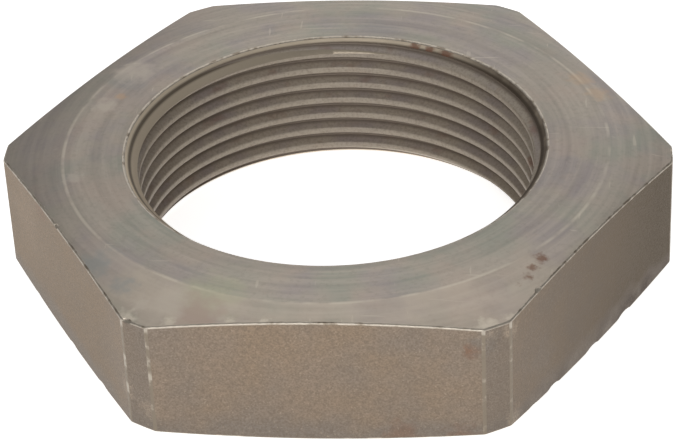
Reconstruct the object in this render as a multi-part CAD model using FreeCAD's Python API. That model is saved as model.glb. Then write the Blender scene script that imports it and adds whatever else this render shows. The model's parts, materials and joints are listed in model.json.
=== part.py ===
import FreeCAD, Part

import math
import os

# A thin hexagon nut: one solid piece of steel with a right-hand internal thread.
# Frame: millimetres, +Z along the thread's axis, the origin at the centre of the lower face.
# Two of the six flats face +Y and -Y, and two of the corners point along +X and -X.

# Driving dimensions.
across_flats = 100.0
nut_height = 24.2
corner_land = 4.8            # width of the turned land that is left across each corner
crown_inset = 4.2            # from the middle of a flat inwards to where the face starts to slope
crown_angle = 10.0           # slope of the turned crown below the face, in degrees
thread_diameter = 69.85      # major diameter of the thread: the grooves' bottoms
thread_pitch = 25.4 / 8      # eight threads to the inch
thread_engagement = 0.905    # depth of the grooves, as a share of the thread form's full depth
thread_start_angle = 335.0   # where the groove crosses the lower face, in degrees from +X
countersink_clearance = 0.7  # how far the countersink's mouth stands outside the thread's major radius
countersink_angle = 90.0     # included angle of the countersink at each end of the bore

# The standard 60 degree thread form, in proportion to its pitch.
sharp_thread_height = thread_pitch * math.sqrt(3) / 2
full_thread_depth = 5 / 8 * sharp_thread_height
root_flat = thread_pitch / 8
flank_slope = math.tan(math.radians(30))

# Sizes that follow from the driving dimensions.
flat_distance = across_flats / 2
full_corner_reach = flat_distance * math.tan(math.radians(30))
land_reach = full_corner_reach - corner_land / 2 / math.cos(math.radians(30))
corner_radius = math.hypot(flat_distance, land_reach)
crown_radius = flat_distance - crown_inset
crown_drop = (corner_radius - crown_radius) * math.tan(math.radians(crown_angle))
major_radius = thread_diameter / 2
minor_radius = major_radius - thread_engagement * full_thread_depth
mouth_radius = major_radius + countersink_clearance
countersink_depth = (mouth_radius - minor_radius) / math.tan(math.radians(countersink_angle / 2))


def hexagon_bar():
    """The six flats, as a prism as tall as the nut."""
    sharp_corner = flat_distance / math.cos(math.radians(30))
    corners = [
        FreeCAD.Vector(
            sharp_corner * math.cos(math.radians(60 * i)),
            sharp_corner * math.sin(math.radians(60 * i)),
            0,
        )
        for i in range(7)
    ]
    return Part.Face(Part.makePolygon(corners)).extrude(FreeCAD.Vector(0, 0, nut_height))


def turned_solid(profile, splined_slopes=False):
    """A solid of revolution about Z from (radius, height) points."""
    points = [FreeCAD.Vector(r, 0, z) for r, z in profile]
    sides = []
    for start, end in zip(points, points[1:] + points[:1]):
        side = Part.LineSegment(start, end)
        slopes = start.x != end.x and start.z != end.z
        sides.append((side.toBSpline() if slopes and splined_slopes else side).toShape())
    face = Part.Face(Part.Wire(sides))
    return face.revolve(FreeCAD.Vector(0, 0, 0), FreeCAD.Vector(0, 0, 1), 360)


def turned_envelope():
    """What the lathe leaves: two flat faces, two shallow crowns and the lands at the corners."""
    profile = [
        (0, 0),
        (crown_radius, 0),
        (corner_radius, crown_drop),
        (corner_radius, nut_height - crown_drop),
        (crown_radius, nut_height),
        (0, nut_height),
    ]
    # The crowns are turned as splines, so that they meet the flats in splines and not in hyperbolas.
    return turned_solid(profile, splined_slopes=True)


def countersunk_bore():
    """The hole before tapping: the minor diameter, opened by a countersink at each end."""
    beyond = countersink_depth  # the cones run on past the faces so that the cut is clean
    outer = mouth_radius + (mouth_radius - minor_radius)
    return turned_solid([
        (0, -beyond),
        (outer, -beyond),
        (minor_radius, countersink_depth),
        (minor_radius, nut_height - countersink_depth),
        (outer, nut_height + beyond),
        (0, nut_height + beyond),
    ])


def thread_groove():
    """The helical groove that the tap cuts, run on for a turn past each face."""
    overlap = thread_pitch / 10  # the cutter reaches this far inside the bore
    turns_past_face = 1.0
    inner_radius = minor_radius - overlap
    root_half = root_flat / 2
    inner_half = root_half + (major_radius - inner_radius) * flank_slope
    profile = Part.makePolygon([
        FreeCAD.Vector(inner_radius, 0, -inner_half),
        FreeCAD.Vector(major_radius, 0, -root_half),
        FreeCAD.Vector(major_radius, 0, root_half),
        FreeCAD.Vector(inner_radius, 0, inner_half),
        FreeCAD.Vector(inner_radius, 0, -inner_half),
    ])
    run_past = turns_past_face * thread_pitch
    taper_angle = 0  # a parallel thread
    path = Part.makeLongHelix(thread_pitch, nut_height + 2 * run_past, minor_radius, taper_angle)
    groove = Part.Wire(path.Edges).makePipeShell([profile], True, True)
    groove.translate(FreeCAD.Vector(0, 0, -run_past))
    groove.rotate(FreeCAD.Vector(0, 0, 0), FreeCAD.Vector(0, 0, 1), thread_start_angle)
    return groove


def hex_nut():
    """The finished nut."""
    blank = hexagon_bar().common(turned_envelope())
    bored = blank.cut(countersunk_bore())
    return bored.cut(thread_groove())


os.makedirs("parts", exist_ok=True)
nut = hex_nut()
if len(nut.Solids) != 1 or not nut.isValid():
    raise ValueError("the nut isn't one valid solid")
nut.Solids[0].exportStep("parts/hex_nut.step")
print(f"hex_nut: {2 * corner_radius:.2f} x {across_flats:.2f} x {nut_height:.2f} mm, {nut.Volume:.0f} mm3")
print(f"bore radius {minor_radius:.3f} mm, mouth radius {mouth_radius:.3f} mm")
print(f"length of the bore's wall {nut_height - 2 * countersink_depth:.2f} mm, crown drop {crown_drop:.3f} mm")
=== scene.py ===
import json
import math

import bpy
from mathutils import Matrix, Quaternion, Vector


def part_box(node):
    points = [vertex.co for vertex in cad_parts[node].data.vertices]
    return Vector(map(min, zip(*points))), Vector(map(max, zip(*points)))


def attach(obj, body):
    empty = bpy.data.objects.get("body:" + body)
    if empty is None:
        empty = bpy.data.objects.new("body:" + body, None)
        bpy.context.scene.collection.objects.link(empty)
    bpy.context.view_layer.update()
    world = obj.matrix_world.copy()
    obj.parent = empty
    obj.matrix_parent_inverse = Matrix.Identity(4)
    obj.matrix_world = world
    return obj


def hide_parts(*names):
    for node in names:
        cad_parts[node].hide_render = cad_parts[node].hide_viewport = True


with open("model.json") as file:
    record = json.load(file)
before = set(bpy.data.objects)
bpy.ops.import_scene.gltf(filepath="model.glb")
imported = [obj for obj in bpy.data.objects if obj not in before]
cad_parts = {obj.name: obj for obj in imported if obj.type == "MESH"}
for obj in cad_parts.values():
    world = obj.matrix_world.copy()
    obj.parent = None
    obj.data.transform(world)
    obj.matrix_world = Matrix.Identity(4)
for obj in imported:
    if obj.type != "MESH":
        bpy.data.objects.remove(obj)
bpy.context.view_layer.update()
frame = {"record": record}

mm = 0.001
print("frame loaded")


def deselectAll():
    if bpy.context.mode != "OBJECT":
        bpy.ops.object.mode_set(mode="OBJECT")
    bpy.ops.object.select_all(action="DESELECT")


def pick(piece):
    deselectAll()
    piece.select_set(True)
    bpy.context.view_layer.objects.active = piece


def added(name):
    # the object that was just added or joined
    piece = bpy.context.active_object
    piece.name = name
    piece.data.name = name
    return piece


def startEdit(piece, kind="FACE"):
    pick(piece)
    bpy.ops.object.mode_set(mode="EDIT")
    bpy.ops.mesh.select_mode(type=kind)
    bpy.ops.mesh.select_all(action="DESELECT")
    bpy.ops.object.mode_set(mode="OBJECT")


def selectFaces(piece, wanted):
    # leaves the piece in edit mode with only the wanted faces selected
    startEdit(piece, "FACE")
    for face in piece.data.polygons:
        face.select = bool(wanted(face))
    bpy.ops.object.mode_set(mode="EDIT")


def applyModifiers(piece):
    pick(piece)
    for modifier in list(piece.modifiers):
        bpy.ops.object.modifier_apply(modifier=modifier.name)


def combine(piece, cutter, operation):
    cut = piece.modifiers.new("cut", "BOOLEAN")
    cut.operation = operation
    cut.solver = "EXACT"
    cut.material_mode = "TRANSFER"
    cut.object = cutter
    applyModifiers(piece)
    bpy.data.objects.remove(cutter)


low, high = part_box("hex_nut")
threadMount = [m for m in frame["record"]["mounts"] if m["name"] == "thread"][0]

nut = {
    "height": high.z - low.z,
    "acrossFlats": high.y - low.y,
    "acrossCorners": high.x - low.x,
    "crownInset": 4.2 * mm,      # from the middle of a flat in to the edge of the flat face
    "crownAngle": math.radians(10),
    "roundSteps": 360,
    "edgeRound": 0.32 * mm,      # how wide the edges are rounded off
    "edgeSegments": 3,
    "edgeAngle": math.radians(20),    # edges that turn more than this are rounded
    "smoothAngle": math.radians(35),  # edges that turn less than this are shaded smooth
}
nut["cornerRadius"] = nut["acrossCorners"] / 2
nut["crownRadius"] = nut["acrossFlats"] / 2 - nut["crownInset"]
nut["crownDrop"] = (nut["cornerRadius"] - nut["crownRadius"]) * math.tan(nut["crownAngle"])

thread = {
    "crestRadius": threadMount["dims"]["r_mm"] * mm,
    "rootRadius": 34.925 * mm,
    "pitch": 25.4 / 8 * mm,      # eight threads to the inch
    "rootFlat": 25.4 / 64 * mm,  # an eighth of the pitch
    "flankAngle": math.radians(30),
    "start": math.radians(335),  # where the groove crosses the lower face
    "crestRound": 0.24 * mm,
    "rootRound": 0.14 * mm,
    "roundSegments": 3,
    "steps": 192,                # round one turn
    "spareTurns": 1.6,           # past each face of the nut
    "tapAllowance": 0.25 * mm,   # the bore starts this much smaller, and the tap opens it
    "mouthClearance": 0.7 * mm,  # from the roots out to the countersink's mouth
    "mouthBreak": 0.22 * mm,     # the countersink's sharp edge, broken
}


def linear(hexColour):
    # an sRGB hex colour as the linear values that the shader wants
    parts = [int(hexColour[i:i + 2], 16) / 255 for i in (1, 3, 5)]
    return [c / 12.92 if c <= 0.04045 else ((c + 0.055) / 1.055) ** 2.4 for c in parts] + [1]


def addNode(tree, kind, inputs=None, **settings):
    # a socket takes a plain value, or another node's output
    made = tree.nodes.new("ShaderNode" + kind)
    for setting, value in settings.items():
        setattr(made, setting, value)
    for socket, value in (inputs or {}).items():
        if isinstance(value, bpy.types.NodeSocket):
            tree.links.new(value, made.inputs[socket])
        else:
            made.inputs[socket].default_value = value
    return made


def startFinish(name, roughness, metallic=0.85):
    # a new steel finish, with the place on the nut in millimetres
    finish = bpy.data.materials.new(name)
    finish.use_nodes = True
    tree = finish.node_tree
    shader = tree.nodes["Principled BSDF"]
    shader.inputs["Metallic"].default_value = metallic
    shader.inputs["Roughness"].default_value = roughness
    metres = addNode(tree, "TexCoord").outputs["Object"]
    place = addNode(tree, "VectorMath", {0: metres, "Scale": 1 / mm}, operation="SCALE").outputs[0]
    return finish, tree, shader, place


def patches(tree, place, size, start, end, stretch=(1, 1, 1), detail=3):
    # a cloudy mask, 0 where the noise is below start and 1 above end; size in mm
    spread = addNode(tree, "VectorMath", {0: place, 1: stretch}, operation="MULTIPLY").outputs[0]
    noise = addNode(tree, "TexNoise", {"Vector": spread, "Scale": 1 / size, "Detail": detail})
    mask = addNode(tree, "MapRange", {"Value": noise.outputs[0], "From Min": start, "From Max": end})
    return mask.outputs[0]


def near(tree, value, centre, reach):
    # 1 where a value is close to the centre, falling to 0 at reach either side
    apart = addNode(tree, "Math", {0: value, 1: centre}, operation="SUBTRACT").outputs[0]
    apart = addNode(tree, "Math", {0: apart}, operation="ABSOLUTE").outputs[0]
    mask = addNode(tree, "MapRange", {"Value": apart, "From Min": reach, "From Max": 0.3 * reach})
    return mask.outputs[0]


def spot(tree, place, centre, reach):
    # one ragged blotch round a point, both in mm
    apart = addNode(tree, "VectorMath", {0: place, 1: centre}, operation="DISTANCE").outputs["Value"]
    ragged = addNode(tree, "TexNoise", {"Vector": place, "Scale": 2 / reach, "Detail": 4}).outputs[0]
    uneven = {0: ragged, 1: -1.6 * reach, 2: apart}
    apart = addNode(tree, "Math", uneven, operation="MULTIPLY_ADD").outputs[0]
    edge = {"Value": apart, "From Min": 0.1 * reach, "From Max": -0.5 * reach}
    mask = addNode(tree, "MapRange", edge)
    return mask.outputs[0]


def both(tree, one, other):
    return addNode(tree, "Math", {0: one, 1: other}, operation="MULTIPLY").outputs[0]


def layer(tree, under, colour, mask, amount=1.0):
    # lays a colour over what is there, as far as the mask and the amount let it
    share = both(tree, mask, amount)
    return addNode(tree, "Mix", {0: share, 6: under, 7: colour}, data_type="RGBA").outputs[2]


def axisRadius(tree, place):
    flat = addNode(tree, "VectorMath", {0: place, 1: (1, 1, 0)}, operation="MULTIPLY").outputs[0]
    return addNode(tree, "VectorMath", {0: flat}, operation="LENGTH").outputs["Value"]


def acrossLatheLines(tree, place):
    # the lines run round the axis, so they spread a highlight the other way, along the radius
    return addNode(tree, "VectorMath", {0: place, 1: (1, 1, 0)}, operation="MULTIPLY").outputs[0]


def finishSurface(tree, shader, colour, height, depth):
    # colour and relief into the shader; depth is the relief's height in mm
    tree.links.new(colour, shader.inputs["Base Color"])
    relief = addNode(tree, "Bump", {"Height": height, "Distance": depth * mm, "Strength": 1.0})
    tree.links.new(relief.outputs[0], shader.inputs["Normal"])


# The two turned faces and their crowns: thin grey oxide, cloudy, with fine lathe lines round the
# axis that spread the light into a soft bow tie.
turned = {
    "oxide": "#958D82",
    "cloudGreen": "#83867B",
    "cloudPlum": "#857C80",
    "cloudPink": "#A08F83",
    "cloudBlue": "#868A88",
    "pale": "#B0A699",
    "grain": "#736C64",
    "bright": "#B6A99A",
    "rubbed": "#C2B8A8",
    "tan": "#B79777",
    "rust": "#6E4E3C",
    "temper": "#A9A987",        # straw and green tint
    "lineWidth": 0.9,           # mm, lathe lines, coarser than a usual 0.2 mm feed so that they show
    "grainSize": 0.7,           # mm
}
turnedClouds = [
    # colour, size in mm, how rare, how strong, and an offset that keeps them apart
    ("cloudGreen", 15, 0.46, 0.75, (0, 0, 0)),
    ("cloudPlum", 12, 0.48, 0.55, (90, 40, 0)),
    ("cloudPink", 9, 0.52, 0.5, (-70, 110, 0)),
]
turnedMarks = [
    # centre in mm, reach in mm, colour and how strong
    ((-16.5, -44.0, 24), 7.0, "temper", 0.3),
    ((-18.0, -47.8, 23), 5.5, "cloudPink", 0.8),
    ((-27.4, -44.8, 23), 2.0, "pale", 0.7),
    ((-37.1, 23.3, 24), 4.5, "pale", 0.6),
    ((-40.6, 11.9, 24), 3.0, "pale", 0.7),
    ((-38.3, 14.9, 24), 1.4, "tan", 0.45),
    ((-42.8, -10.5, 24), 2.2, "pale", 0.5),
    ((41.2, 21.0, 24), 3.2, "tan", 0.35),
    ((44.0, 16.4, 24), 3.0, "tan", 0.35),
    ((34.8, -32.8, 24), 1.6, "rust", 0.8),
    ((33.6, -35.2, 24), 1.3, "rust", 0.75),
    ((32.9, -37.4, 24), 1.2, "rust", 0.7),
    ((31.4, -39.4, 24), 0.9, "rust", 0.5),
    ((26.8, -49.4, 22.8), 2.6, "rubbed", 0.8),
    ((30.4, -47.2, 22.6), 1.8, "rubbed", 0.6),
    ((-22.5, -49.0, 23), 1.6, "rubbed", 0.7),
    ((-13.0, -49.3, 23), 1.2, "rubbed", 0.6),
    ((-7.4, -49.4, 23), 1.2, "rubbed", 0.8),
    ((-36.0, -34.5, 23), 4.0, "cloudBlue", 0.6),
    ((-30.5, -40.0, 23), 3.0, "cloudBlue", 0.5),
    ((-23.0, -44.5, 23), 5.0, "pale", 0.6),
    ((-29.6, -47.4, 22), 2.4, "rubbed", 0.75),
]


def turnedFinish():
    finish, tree, shader, place = startFinish("turnedOxidisedSteel", 0.44)
    colour = linear(turned["oxide"])
    for tint, size, start, amount, offset in turnedClouds:
        moved = addNode(tree, "VectorMath", {0: place, 1: offset}, operation="ADD").outputs[0]
        cloud = patches(tree, moved, size, start, start + 0.13)
        colour = layer(tree, colour, linear(turned[tint]), cloud, amount)
    radius = axisRadius(tree, place)
    # lathe lines: noise that changes quickly along the radius and slowly round it
    along = addNode(tree, "SeparateXYZ", {0: place})
    slow = [both(tree, along.outputs[i], 0.05) for i in (0, 1)]
    rings = addNode(tree, "CombineXYZ", {0: radius, 1: slow[0], 2: slow[1]}).outputs[0]
    lines = patches(tree, rings, turned["lineWidth"], 0.3, 0.7)
    colour = layer(tree, colour, linear(turned["pale"]), lines, 0.45)
    colour = layer(tree, colour, linear(turned["pale"]), patches(tree, rings, 4.0, 0.55, 0.7), 0.14)
    grain = patches(tree, place, turned["grainSize"], 0.5, 0.72)
    colour = layer(tree, colour, linear(turned["grain"]), grain, 0.22)
    wear = patches(tree, rings, 2.2, 0.48, 0.66, detail=6)
    colour = layer(tree, colour, linear(turned["grain"]), wear, 0.22)
    # fine scratches, in two directions
    for stretch in ((0.05, 0.9, 1), (0.9, 0.09, 1)):
        scratch = patches(tree, place, 0.7, 0.74, 0.78, stretch=stretch, detail=1)
        colour = layer(tree, colour, linear(turned["rubbed"]), scratch, 0.3)
    # painted light: the crown is painted paler along the front as a highlight, and darker on the left
    # and back-left as shade; its low ridge is rubbed in places
    start = nut["crownRadius"] / mm
    front = addNode(tree, "MapRange", {"Value": along.outputs[1], "From Min": -20, "From Max": -42})
    onCrown = {"Value": radius, "From Min": start - 0.1, "From Max": start + 0.1}
    crown = addNode(tree, "MapRange", onCrown)
    paintedHighlightFront = both(tree, front.outputs[0], crown.outputs[0])
    # painted highlight along the front of the crown
    colour = layer(tree, colour, linear(turned["bright"]), paintedHighlightFront, 0.3)
    paintedHighlightFront = both(tree, paintedHighlightFront, patches(tree, place, 8, 0.4, 0.6))
    colour = layer(tree, colour, linear(turned["bright"]), paintedHighlightFront, 0.4)
    # painted shade on the left and back-left of the crown
    side = addNode(tree, "MapRange", {"Value": along.outputs[0], "From Min": -12, "From Max": -38})
    back = addNode(tree, "MapRange", {"Value": along.outputs[1], "From Min": -32, "From Max": -10})
    paintedShadeLeft = both(tree, both(tree, side.outputs[0], back.outputs[0]), crown.outputs[0])
    colour = layer(tree, colour, linear(turned["grain"]), paintedShadeLeft, 0.38)
    ridge = both(tree, near(tree, radius, start, 0.4), patches(tree, place, 6, 0.38, 0.56))
    colour = layer(tree, colour, linear(turned["rubbed"]), ridge, 0.45)
    for centre, reach, paint, amount in turnedMarks:
        colour = layer(tree, colour, linear(turned[paint]), spot(tree, place, centre, reach), amount)
    finishSurface(tree, shader, colour, both(tree, lines, 0.6), 0.012)
    shader.inputs["Anisotropic"].default_value = 0.7
    tree.links.new(acrossLatheLines(tree, place), shader.inputs["Tangent"])
    return finish


# The six flats: hot-rolled bar skin, a sandy brown with a fine even grain, greyer along the foot.
# The lands turned across the corners get the same skin, only greyer.
flatSkin = {
    "brown": "#8F7F6F",
    "gold": "#937F69",
    "olive": "#463820",
    "ochre": "#7F6A4E",
    "dark": "#3E2E24",
    "grey": "#80776E",
    "grain": "#685C50",
    "glint": "#AA9A87",
    "rust": "#83604B",
    "foot": 4.5,                # mm, height of the greyer strip
    "grainSize": 0.28,          # mm
    "cloudSize": 9,             # mm
}
flatMarks = [
    # centre in mm, reach in mm, colour and how strong
    ((24.4, -50, 18.4), 1.9, "rust", 0.75),
    ((26.9, -50, 20.9), 2.2, "glint", 0.7),
    ((30.8, -47.8, 20.6), 2.4, "glint", 0.6),
    ((28.9, -49.2, 19.9), 1.3, "grain", 0.7),
    ((31.2, -47.4, 3.0), 2.6, "glint", 0.6),
    ((-26.9, -50, 6.0), 2.4, "glint", 0.5),
    ((-30.9, -47.8, 8.5), 2.6, "glint", 0.5),
    ((12.7, -50, 1.6), 4.0, "rust", 0.5),
    ((22.4, -50, 1.4), 3.6, "rust", 0.55),
    ((26.5, -50, 19.6), 3.6, "grey", 0.8),
    ((-51.8, -10.2, 17.0), 9.0, "gold", 0.6),
    ((-47.5, -17.6, 22.6), 3.0, "rust", 0.35),
    ((35.0, -39.5, 9.0), 6.0, "grey", 0.4),
]


def flatFinish(name, greyness):
    finish, tree, shader, place = startFinish(name, 0.55, metallic=0.7)
    along = addNode(tree, "SeparateXYZ", {0: place})
    size = flatSkin["cloudSize"]
    cloud = patches(tree, place, size, 0.4, 0.65)
    colour = layer(tree, linear(flatSkin["brown"]), linear(flatSkin["grey"]), cloud, 0.45)
    moved = addNode(tree, "VectorMath", {0: place, 1: (60, -80, 30)}, operation="ADD").outputs[0]
    colour = layer(tree, colour, linear(flatSkin["gold"]), patches(tree, moved, size, 0.42, 0.64), 0.6)
    # painted shade: the flats are painted dark olive towards the right, and darker and more yellow at
    # the far left, for how the light falls on them
    across = along.outputs[0]
    dull = addNode(tree, "MapRange", {"Value": across, "From Min": 24, "From Max": 54}).outputs[0]
    colour = layer(tree, colour, linear(flatSkin["olive"]), dull, 0.95)
    yellow = addNode(tree, "MapRange", {"Value": across, "From Min": -28, "From Max": -36}).outputs[0]
    colour = layer(tree, colour, linear(flatSkin["ochre"]), yellow, 0.6)
    ripple = addNode(tree, "TexNoise", {"Vector": place, "Scale": 0.15, "Detail": 4}).outputs[0]
    wavy = {0: ripple, 1: 7, 2: along.outputs[2]}
    level = addNode(tree, "Math", wavy, operation="MULTIPLY_ADD").outputs[0]
    foot = addNode(tree, "MapRange", {
        "Value": level, "From Min": flatSkin["foot"] + 4.5, "From Max": flatSkin["foot"] + 1.5,
    }).outputs[0]
    colour = layer(tree, colour, linear(flatSkin["grey"]), foot, 0.8)
    # the foot goes darker in patches towards the right, inside the painted shade
    darkFootRight = both(tree, both(tree, foot, dull), patches(tree, place, 5, 0.35, 0.6))
    colour = layer(tree, colour, linear(flatSkin["dark"]), darkFootRight, 0.9)
    colour = layer(tree, colour, linear(flatSkin["grey"]), greyness)
    for centre, reach, paint, amount in flatMarks:
        colour = layer(tree, colour, linear(flatSkin[paint]), spot(tree, place, centre, reach), amount)
    grain = patches(tree, place, flatSkin["grainSize"], 0.36, 0.68)
    colour = layer(tree, colour, linear(flatSkin["grain"]), grain, 0.6)
    speckle = patches(tree, place, 0.9, 0.48, 0.62)
    colour = layer(tree, colour, linear(flatSkin["grain"]), speckle, 0.1)
    # painted highlight: small pale glints in the grain, only outside the painted shade on the right
    glint = patches(tree, place, flatSkin["grainSize"] * 1.3, 0.6, 0.72)
    brightSide = addNode(tree, "Math", {0: 1.0, 1: dull}, operation="SUBTRACT").outputs[0]
    glint = both(tree, glint, brightSide)
    colour = layer(tree, colour, linear(flatSkin["glint"]), glint, 0.42)
    finishSurface(tree, shader, colour, grain, 0.03)
    return finish


# Edges rubbed through the oxide to paler steel, bright along the top and broken elsewhere.
rubbed = {
    "skin": "#827769",
    "bare": "#B4AB9E",
    "dark": "#5F564C",
}


def rubbedFinish():
    finish, tree, shader, place = startFinish("rubbedEdgeSteel", 0.4)
    along = addNode(tree, "SeparateXYZ", {0: place})
    high = nut["height"] / mm
    top = addNode(tree, "MapRange", {
        "Value": along.outputs[2], "From Min": high - 3.4, "From Max": high - 2.4,
    }).outputs[0]
    lift = addNode(tree, "TexNoise", {"Vector": place, "Scale": 0.45, "Detail": 6}).outputs[0]
    lift = addNode(tree, "Math", {0: top, 1: 0.17, 2: lift}, operation="MULTIPLY_ADD").outputs[0]
    bare = addNode(tree, "MapRange", {"Value": lift, "From Min": 0.54, "From Max": 0.66}).outputs[0]
    colour = layer(tree, linear(rubbed["skin"]), linear(rubbed["bare"]), bare, 0.8)
    colour = layer(tree, colour, linear(rubbed["dark"]), patches(tree, place, 1.6, 0.64, 0.72), 0.2)
    finishSurface(tree, shader, colour, patches(tree, place, 0.8, 0.35, 0.7), 0.05)
    return finish


# The countersinks: satin tan oxide, browner towards the right, with a painted dark line of shade inside,
# where the cone meets the first groove.
rim = {
    "tan": "#E2D2BB",
    "dull": "#A39786",
    "brown": "#75695B",
    # painted shade: the dark line where the cone meets the first groove
    "grooveShade": "#51463B",
    "pale": "#CFC0AA",
    "rust": "#8A5F4C",
    "dullRadius": 34.3,         # mm, where the cone has gone as dull as the thread
    "tanRadius": 34.6,          # mm, where it is still tan
    "grooveShadeRadius": 34.7,        # mm, where the cone meets the first groove
}
rimSpots = [
    # centre and reach of each speck of rust in mm
    ((11.9, 32.9, 23.6), 1.4),
    ((17.4, 30.4, 23.6), 1.8),
    ((14.6, 31.9, 23.6), 1.2),
]


def rimFinish():
    finish, tree, shader, place = startFinish("countersunkSteel", 0.45)
    along = addNode(tree, "SeparateXYZ", {0: place})
    radius = axisRadius(tree, place)
    across = along.outputs[0]
    right = addNode(tree, "MapRange", {"Value": across, "From Min": 14, "From Max": 27}).outputs[0]
    left = addNode(tree, "MapRange", {"Value": across, "From Min": -8, "From Max": -25}).outputs[0]
    colour = layer(tree, linear(rim["tan"]), linear(rim["brown"]), right)
    colour = layer(tree, colour, linear(rim["pale"]), patches(tree, place, 4, 0.45, 0.7), 0.35)
    # the narrow end of the cone is as dull as the thread
    narrow = {"Value": radius, "From Min": rim["tanRadius"], "From Max": rim["dullRadius"]}
    inner = addNode(tree, "MapRange", narrow).outputs[0]
    colour = layer(tree, colour, linear(rim["dull"]), inner)
    # painted light: the left side of the cone is painted paler, as if more light falls on it
    colour = layer(tree, colour, linear(rim["pale"]), left, 0.6)
    # painted shade along the edge of the first groove
    colour = layer(tree, colour, linear(rim["grooveShade"]), near(tree, radius, rim["grooveShadeRadius"], 0.4), 0.85)
    for centre, reach in rimSpots:
        colour = layer(tree, colour, linear(rim["rust"]), spot(tree, place, centre, reach), 0.75)
    finishSurface(tree, shader, colour, patches(tree, place, 0.9, 0.35, 0.7), 0.02)
    return finish


# The tapped thread: dull brown-grey oxide with a little rust, darker down in the roots.
groove = {
    "root": "#75695D",
    "flank": "#A3988A",
    "crest": "#A19687",
    "rust": "#7E5A48",
    "plum": "#8F8482",
}


def threadFinish():
    finish, tree, shader, place = startFinish("tappedSteel", 0.55, metallic=0.4)
    radius = axisRadius(tree, place)
    crest = thread["crestRadius"] / mm
    root = thread["rootRadius"] / mm
    dark = addNode(tree, "MapRange", {"Value": radius, "From Min": crest + 0.9, "From Max": root - 0.1})
    light = addNode(tree, "MapRange", {"Value": radius, "From Min": crest + 0.4, "From Max": crest})
    cloud = patches(tree, place, 7, 0.45, 0.62)
    colour = layer(tree, linear(groove["flank"]), linear(groove["plum"]), cloud, 0.6)
    rust = patches(tree, place, 5, 0.58, 0.72, stretch=(1, 1, 2))
    colour = layer(tree, colour, linear(groove["rust"]), rust, 0.5)
    colour = layer(tree, colour, linear(groove["crest"]), light.outputs[0], 0.8)
    colour = layer(tree, colour, linear(groove["root"]), dark.outputs[0], 0.92)
    colour = layer(tree, colour, linear(groove["rust"]), spot(tree, place, (33.5, 8.5, 15), 2.4), 0.7)
    colour = layer(tree, colour, linear(groove["root"]), patches(tree, place, 0.45, 0.45, 0.68), 0.4)
    finishSurface(tree, shader, colour, patches(tree, place, 0.7, 0.35, 0.7), 0.02)
    return finish


steels = {
    "turned": turnedFinish(),
    "rubbed": rubbedFinish(),
    "flat": flatFinish("rolledBarSkin", 0.0),
    "land": flatFinish("turnedCornerLand", 0.55),
    "rim": rimFinish(),
    "thread": threadFinish(),
}
print("finishes mixed")


def coat(piece, name, wanted):
    # gives the wanted faces one of the finishes
    finish = steels[name]
    if finish.name not in piece.data.materials:
        piece.data.materials.append(finish)
    selectFaces(piece, wanted)
    piece.active_material_index = piece.data.materials.find(finish.name)
    bpy.ops.object.material_slot_assign()
    bpy.ops.object.mode_set(mode="OBJECT")


def capFace(sign):
    # a test for the faces that look straight up, or with -1 straight down
    return lambda face: face.normal.z * sign > 0.99


def turnedBlank():
    bpy.ops.mesh.primitive_cylinder_add(
        vertices=nut["roundSteps"],
        radius=nut["cornerRadius"],
        depth=nut["height"] - 2 * nut["crownDrop"],
        location=(0, 0, nut["height"] / 2),
        end_fill_type="NGON",
    )
    blank = added("hexNut")
    pick(blank)
    bpy.ops.object.transform_apply(location=True, rotation=True, scale=True)
    shrink = nut["crownRadius"] / nut["cornerRadius"]
    for sign in (1, -1):
        selectFaces(blank, capFace(sign))
        bpy.ops.mesh.extrude_region_move(
            TRANSFORM_OT_translate={"value": (0, 0, sign * nut["crownDrop"])}
        )
        bpy.ops.transform.resize(value=(shrink, shrink, 1), center_override=(0, 0, 0))
        bpy.ops.object.mode_set(mode="OBJECT")
    return blank


def hexagonBar():
    bpy.ops.mesh.primitive_cylinder_add(
        vertices=6,
        radius=nut["acrossFlats"] / 2 / math.cos(math.radians(30)),
        depth=nut["height"] * 1.5,
        location=(0, 0, nut["height"] / 2),
        rotation=(0, 0, math.radians(30)),
    )
    bar = added("hexagonBar")
    pick(bar)
    bpy.ops.object.transform_apply(location=True, rotation=True, scale=True)
    return bar


def dullEdges(piece):
    bevel = piece.modifiers.new("dulled edges", "BEVEL")
    bevel.width = nut["edgeRound"]
    bevel.segments = nut["edgeSegments"]
    bevel.material = piece.data.materials.find(steels["rubbed"].name)
    bevel.limit_method = "ANGLE"
    bevel.angle_limit = nut["edgeAngle"]
    applyModifiers(piece)


def isMouthBreak(face):
    # the narrow ring of the cutter that breaks the countersink's sharp edge
    reach = math.hypot(face.center.x, face.center.y)
    mouth = thread["rootRadius"] + thread["mouthClearance"]
    return abs(reach - mouth) < 0.9 * thread["mouthBreak"] and abs(face.normal.z) < 0.95


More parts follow.
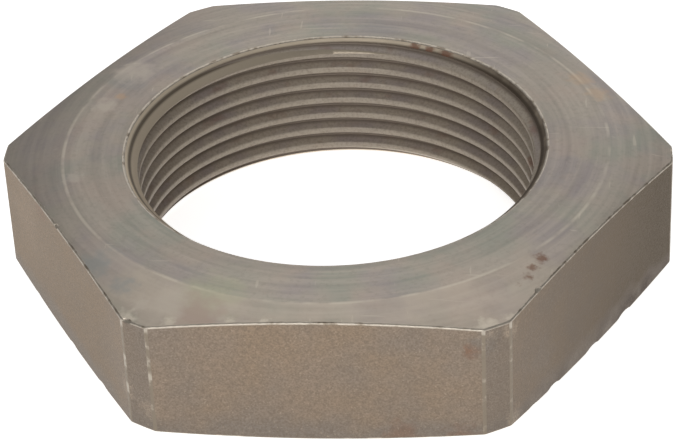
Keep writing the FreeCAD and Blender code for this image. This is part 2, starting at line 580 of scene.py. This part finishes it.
def boreCutter():
    roughRadius = thread["crestRadius"] - thread["tapAllowance"]
    mouthRadius = thread["rootRadius"] + thread["mouthClearance"]
    coneDepth = mouthRadius - roughRadius    # 90 degree countersink
    beyond = 2 * mm                          # the cone runs on past the face, for a clean cut
    bpy.ops.mesh.primitive_cylinder_add(
        vertices=nut["roundSteps"],
        radius=roughRadius,
        depth=nut["height"] - 2 * coneDepth,
        location=(0, 0, nut["height"] / 2),
    )
    cutter = added("boreCutter")
    pick(cutter)
    bpy.ops.object.transform_apply(location=True, rotation=True, scale=True)
    # each ring: how far past the last one, and the radius there
    mouthBreak = thread["mouthBreak"]
    rings = [
        (coneDepth - mouthBreak, mouthRadius - mouthBreak),
        (mouthBreak, mouthRadius + mouthBreak),
        (beyond, mouthRadius + mouthBreak + 2 * beyond),
    ]
    for sign in (1, -1):
        radius = roughRadius
        for rise, nextRadius in rings:
            selectFaces(cutter, capFace(sign))
            bpy.ops.mesh.extrude_region_move(TRANSFORM_OT_translate={"value": (0, 0, sign * rise)})
            grow = nextRadius / radius
            bpy.ops.transform.resize(value=(grow, grow, 1), center_override=(0, 0, 0))
            bpy.ops.object.mode_set(mode="OBJECT")
            radius = nextRadius
    return cutter


def threadTap():
    # the thread's outline over one pitch, from the middle of one crest to the middle of the next
    rise = (thread["rootRadius"] - thread["crestRadius"]) * math.tan(thread["flankAngle"])
    crestHalf = (thread["pitch"] - thread["rootFlat"] - 2 * rise) / 2
    outline = [
        (thread["crestRadius"], 0),
        (thread["crestRadius"], crestHalf),
        (thread["rootRadius"], crestHalf + rise),
        (thread["rootRadius"], thread["pitch"] - crestHalf - rise),
        (thread["crestRadius"], thread["pitch"] - crestHalf),
        (thread["crestRadius"], thread["pitch"]),
    ]
    bpy.ops.mesh.primitive_plane_add(size=1 * mm, location=(outline[0][0], 0, outline[0][1]))
    tap = added("threadTap")
    pick(tap)
    bpy.ops.object.transform_apply(location=True, rotation=True, scale=True)
    bpy.ops.object.mode_set(mode="EDIT")
    bpy.ops.mesh.select_mode(type="VERT")
    bpy.ops.mesh.select_all(action="SELECT")
    bpy.ops.mesh.merge(type="CENTER")
    for (r0, z0), (r1, z1) in zip(outline, outline[1:]):
        bpy.ops.mesh.extrude_region_move(TRANSFORM_OT_translate={"value": (r1 - r0, 0, z1 - z0)})
    bpy.ops.object.mode_set(mode="OBJECT")
    # round the two corners of the crest and the two of the root
    hair = 0.01 * mm
    for radius, size in (("crestRadius", "crestRound"), ("rootRadius", "rootRound")):
        startEdit(tap, "VERT")
        for v in tap.data.vertices:
            inside = hair < v.co.z < thread["pitch"] - hair
            v.select = inside and abs(v.co.x - thread[radius]) < hair
        bpy.ops.object.mode_set(mode="EDIT")
        bpy.ops.mesh.bevel(
            offset=thread[size], segments=thread["roundSegments"], affect="VERTICES"
        )
        bpy.ops.object.mode_set(mode="OBJECT")
    turns = math.ceil(nut["height"] / thread["pitch"] + 2 * thread["spareTurns"])
    screw = tap.modifiers.new("thread", "SCREW")
    screw.axis = "Z"
    screw.screw_offset = thread["pitch"]
    screw.iterations = turns
    screw.steps = thread["steps"]
    screw.render_steps = thread["steps"]
    screw.use_smooth_shade = False
    applyModifiers(tap)
    # the groove's middle is half a pitch above the outline's start
    startEdit(tap, "VERT")
    bpy.ops.object.mode_set(mode="EDIT")
    bpy.ops.mesh.select_all(action="SELECT")
    bpy.ops.mesh.remove_doubles(threshold=0.002 * mm)
    drop = math.floor(thread["spareTurns"]) * thread["pitch"] + thread["pitch"] / 2
    bpy.ops.transform.translate(value=(0, 0, -drop))
    bpy.ops.object.mode_set(mode="OBJECT")
    tap.rotation_euler.z = thread["start"]
    pick(tap)
    bpy.ops.object.transform_apply(location=True, rotation=True, scale=True)
    # close each open end to a point
    middle = nut["height"] / 2
    for above in (True, False):
        startEdit(tap, "VERT")
        bpy.ops.object.mode_set(mode="EDIT")
        bpy.ops.mesh.select_non_manifold(
            extend=False, use_wire=False, use_boundary=True, use_multi_face=False,
            use_non_contiguous=False, use_verts=False,
        )
        bpy.ops.object.mode_set(mode="OBJECT")
        for v in tap.data.vertices:
            if (v.co.z > middle) != above:
                v.select = False
        for edge in tap.data.edges:
            ends = [tap.data.vertices[i] for i in edge.vertices]
            edge.select = edge.select and all(v.select for v in ends)
        bpy.ops.object.mode_set(mode="EDIT")
        bpy.ops.mesh.extrude_edges_move()
        bpy.ops.mesh.merge(type="CENTER")
        bpy.ops.object.mode_set(mode="OBJECT")
    startEdit(tap, "FACE")
    bpy.ops.object.mode_set(mode="EDIT")
    bpy.ops.mesh.select_all(action="SELECT")
    bpy.ops.mesh.normals_make_consistent(inside=False)
    bpy.ops.object.mode_set(mode="OBJECT")
    return tap


# Small dents along the edges: the centre of each in mm, and how far it reaches. The last nine make
# the lower edges uneven.
dents = [
    ((-29.6, -48.6, 22.6), 1.0),
    ((26.4, -50.7, 22.7), 0.9),
    ((30.9, -48.6, 22.4), 0.8),
    ((34.9, -40.4, 23.2), 0.9),
    ((33.0, -42.4, 23.6), 0.5),
    ((-44.4, -24.0, 23.6), 0.8),
    ((-47.3, -18.4, 24.0), 0.9),
    ((-7.3, -50.4, 23.9), 0.55),
    ((52.8, -8.2, 23.8), 0.7),
    ((57.0, 0.8, 22.0), 0.9),
    ((-52.5, -9.8, 23.1), 0.55),
    ((-40.7, -31.0, 23.5), 0.5),
    ((-35.4, -40.2, 23.1), 0.5),
    ((38.7, -34.6, 23.4), 0.5),
    ((43.0, -26.9, 23.7), 0.45),
    ((49.7, -15.2, 23.5), 0.55),
    ((49.6, -16.6, -0.8), 3.2),
    ((44.2, -26.0, -1.4), 3.6),
    ((38.0, -37.0, -0.45), 2.9),
    ((34.6, -42.6, -0.5), 3.0),
    ((-37.0, -37.6, -1.05), 3.4),
    ((-43.6, -26.2, -1.25), 3.2),
    ((-51.6, -12.2, -0.95), 3.2),
    ((8.0, -51.4, -1.35), 3.0),
    ((-14.0, -51.6, -1.45), 3.4),
]


def dentCutter():
    balls = []
    for centre, reach in dents:
        bpy.ops.mesh.primitive_ico_sphere_add(
            subdivisions=3, radius=reach * mm, location=[c * mm for c in centre]
        )
        ball = added("dent")
        bpy.ops.transform.resize(value=(1.3, 1.1, 0.8))    # longer than it is deep
        bpy.ops.object.transform_apply(location=True, rotation=True, scale=True)
        balls.append(ball)
    deselectAll()
    for ball in balls:
        ball.select_set(True)
    bpy.context.view_layer.objects.active = balls[0]
    bpy.ops.object.join()
    cutter = added("dentCutter")
    coat(cutter, "rubbed", lambda face: True)
    return cutter


hexNut = turnedBlank()
hexNut.data.materials.append(steels["rubbed"])
coat(hexNut, "turned", lambda face: abs(face.normal.z) > 0.5)
coat(hexNut, "land", lambda face: abs(face.normal.z) <= 0.5)
bar = hexagonBar()
coat(bar, "flat", lambda face: True)
combine(hexNut, bar, "INTERSECT")
dullEdges(hexNut)
combine(hexNut, dentCutter(), "DIFFERENCE")
print("blank turned, milled and dented:", len(hexNut.data.polygons), "faces")

cutter = boreCutter()
coat(cutter, "rim", lambda face: True)
coat(cutter, "thread", lambda face: abs(face.normal.z) < 0.1)
coat(cutter, "rubbed", isMouthBreak)
combine(hexNut, cutter, "DIFFERENCE")
tap = threadTap()
coat(tap, "thread", lambda face: True)
combine(hexNut, tap, "DIFFERENCE")
pick(hexNut)
bpy.ops.object.shade_smooth_by_angle(angle=nut["smoothAngle"])
even = hexNut.modifiers.new("even shading", "WEIGHTED_NORMAL")
even.keep_sharp = True
even.weight = 100
applyModifiers(hexNut)
print("bored and tapped:", len(hexNut.data.polygons), "faces")


# Milky glass that glows a little, so the floor stays pale right up to the nut and through the bore.
table = {
    "glass": "#E9E8E6",
    "glow": 0.78,
    "width": 4,                 # metres
    "gap": 0.03 * mm,           # keeps the glass clear of the nut's lower face
}
bpy.ops.mesh.primitive_plane_add(size=table["width"], location=(0, 0, -table["gap"]))
floor = added("lightTable")
milkGlass = bpy.data.materials.new("milkGlass")
milkGlass.use_nodes = True
glass = milkGlass.node_tree.nodes["Principled BSDF"]
glass.inputs["Base Color"].default_value = linear(table["glass"])
glass.inputs["Roughness"].default_value = 0.8
glass.inputs["Emission Color"].default_value = (1, 1, 1, 1)
glass.inputs["Emission Strength"].default_value = table["glow"]
floor.data.materials.append(milkGlass)

lights = {
    "tent": 0.31,
    # place in metres, width in metres and watts
    "overheadSoftbox": ((-0.05, 0.65, 0.9), 0.7, 2.4),
    "backSoftbox": ((0.1, 1.3, 0.3), 0.9, 2),
    "frontSoftbox": ((-0.08, -1.15, 0.5), 0.8, 7.2),
}
world = bpy.data.worlds.new("lightTent")
bpy.context.scene.world = world
world.use_nodes = True
tent = world.node_tree.nodes["Background"]
tent.inputs["Color"].default_value = (1, 1, 1, 1)
tent.inputs["Strength"].default_value = lights["tent"]


def softbox(name):
    # a square lamp aimed at the origin
    place, size, power = lights[name]
    bpy.ops.object.light_add(type="AREA", location=place)
    light = bpy.context.active_object
    light.name = name
    light.data.shape = "SQUARE"
    light.data.size = size
    light.data.energy = power
    light.rotation_euler = (-Vector(place)).to_track_quat("-Z", "Y").to_euler()


softbox("overheadSoftbox")
softbox("backSoftbox")
softbox("frontSoftbox")
print("table and lights up")

cameraView = {
    "azimuth": math.radians(5.52),    # round the nut, towards +X from straight in front
    "elevation": math.radians(34.03),
    "roll": math.radians(2.87),
    "distance": 468.3 * mm,
    "lens": 148.9,
    "left": 0.36 * mm,                # the aim, from the centre of the upper face
    "below": 12.93 * mm,
}


def placeCamera():
    el = cameraView["elevation"]
    turn = cameraView["azimuth"]
    look = Vector((-math.sin(turn) * math.cos(el), math.cos(turn) * math.cos(el), -math.sin(el)))
    right = Vector((math.cos(turn), math.sin(turn), 0))
    up = right.cross(look)
    aim = Vector((0, 0, nut["height"])) - cameraView["left"] * right - cameraView["below"] * up
    bpy.ops.object.camera_add(location=aim - cameraView["distance"] * look)
    camera = bpy.context.active_object
    camera.data.lens = cameraView["lens"]
    camera.rotation_mode = "QUATERNION"
    camera.rotation_quaternion = look.to_track_quat("-Z", "Y")
    camera.rotation_quaternion.rotate(Quaternion(look, cameraView["roll"]))
    bpy.context.scene.camera = camera


placeCamera()
bpy.context.scene.view_settings.view_transform = "Standard"

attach(hexNut, "root")
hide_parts("hex_nut")
